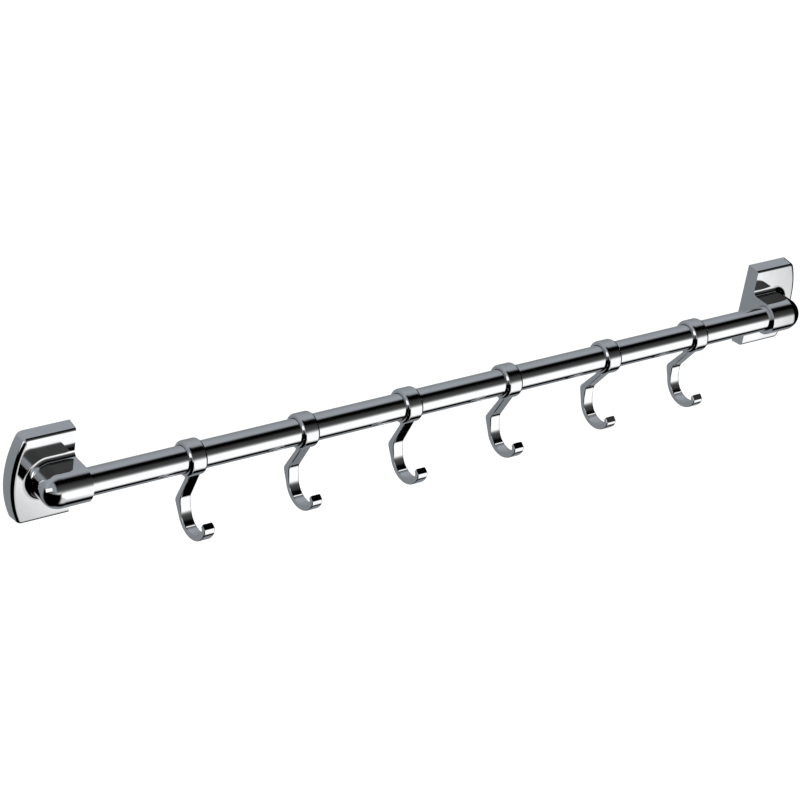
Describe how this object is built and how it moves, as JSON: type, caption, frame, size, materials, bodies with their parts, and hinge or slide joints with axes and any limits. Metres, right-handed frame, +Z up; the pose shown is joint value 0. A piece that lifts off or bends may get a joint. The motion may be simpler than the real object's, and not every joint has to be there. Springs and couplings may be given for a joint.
{
  "type": "towel hook rack",
  "caption": "Wall rail with sliding hooks for towels: a round chrome bar between two cast end brackets, with flat bent hooks hanging from collars on the bar.",
  "frame": {"origin": "on the wall, midway between the brackets, level with the rail's axis", "axes": "+X along the rail to the right bracket, +Y into the wall, +Z up"},
  "size_m": [0.5764, 0.0486, 0.0754],
  "materials": {
    "chrome_tube": "polished",
    "chrome_casting": "polished",
    "plate_steel": "zinc plated",
    "screw_steel": "satin",
    "nylon": "matte"
  },
  "bodies": {
    "frame": {"rail": "chrome_tube", "left_bracket": "chrome_casting", "right_bracket": "chrome_casting", "left_wall_plate": "plate_steel", "right_wall_plate": "plate_steel", "set_screws": "screw_steel"},
    "liner_1": {"liner_1": "nylon"},
    "hook_1": {"hook_1": "chrome_casting"},
    "liner_2": {"liner_2": "nylon"},
    "hook_2": {"hook_2": "chrome_casting"},
    "liner_3": {"liner_3": "nylon"},
    "hook_3": {"hook_3": "chrome_casting"},
    "liner_4": {"liner_4": "nylon"},
    "hook_4": {"hook_4": "chrome_casting"},
    "liner_5": {"liner_5": "nylon"},
    "hook_5": {"hook_5": "chrome_casting"},
    "liner_6": {"liner_6": "nylon"},
    "hook_6": {"hook_6": "chrome_casting"}
  },
  "joints": [
    {"name": "hook_1_slide", "type": "slide", "parent": "frame", "child": "liner_1", "axis": [1, 0, 0], "range_m": [-0.06168, 0.03185]},
    {"name": "hook_1_swing", "type": "hinge", "parent": "liner_1", "child": "hook_1", "pos_m": [-0.1826, -0.0217, 0], "axis": [-1, 0, 0], "range_deg": [-32, 170]},
    {"name": "hook_2_slide", "type": "slide", "parent": "frame", "child": "liner_2", "axis": [1, 0, 0], "range_m": [-0.03185, 0.0308]},
    {"name": "hook_2_swing", "type": "hinge", "parent": "liner_2", "child": "hook_2", "pos_m": [-0.1072, -0.0217, 0], "axis": [-1, 0, 0], "range_deg": [-25.8, 176.2]},
    {"name": "hook_3_slide", "type": "slide", "parent": "frame", "child": "liner_3", "axis": [1, 0, 0], "range_m": [-0.0308, 0.03125]},
    {"name": "hook_3_swing", "type": "hinge", "parent": "liner_3", "child": "hook_3", "pos_m": [-0.0339, -0.0217, 0], "axis": [-1, 0, 0], "range_deg": [-29.2, 172.8]},
    {"name": "hook_4_slide", "type": "slide", "parent": "frame", "child": "liner_4", "axis": [1, 0, 0], "range_m": [-0.03125, 0.033]},
    {"name": "hook_4_swing", "type": "hinge", "parent": "liner_4", "child": "hook_4", "pos_m": [0.0403, -0.0217, 0], "axis": [-1, 0, 0], "range_deg": [-25.5, 176.5]},
    {"name": "hook_5_slide", "type": "slide", "parent": "frame", "child": "liner_5", "axis": [1, 0, 0], "range_m": [-0.033, 0.0298]},
    {"name": "hook_5_swing", "type": "hinge", "parent": "liner_5", "child": "hook_5", "pos_m": [0.118, -0.0217, 0], "axis": [-1, 0, 0], "range_deg": [-16.6, 185.4]},
    {"name": "hook_6_slide", "type": "slide", "parent": "frame", "child": "liner_6", "axis": [1, 0, 0], "range_m": [-0.0298, 0.05498]},
    {"name": "hook_6_swing", "type": "hinge", "parent": "liner_6", "child": "hook_6", "pos_m": [0.1893, -0.0217, 0], "axis": [-1, 0, 0], "range_deg": [-17.2, 184.8]}
  ]
}
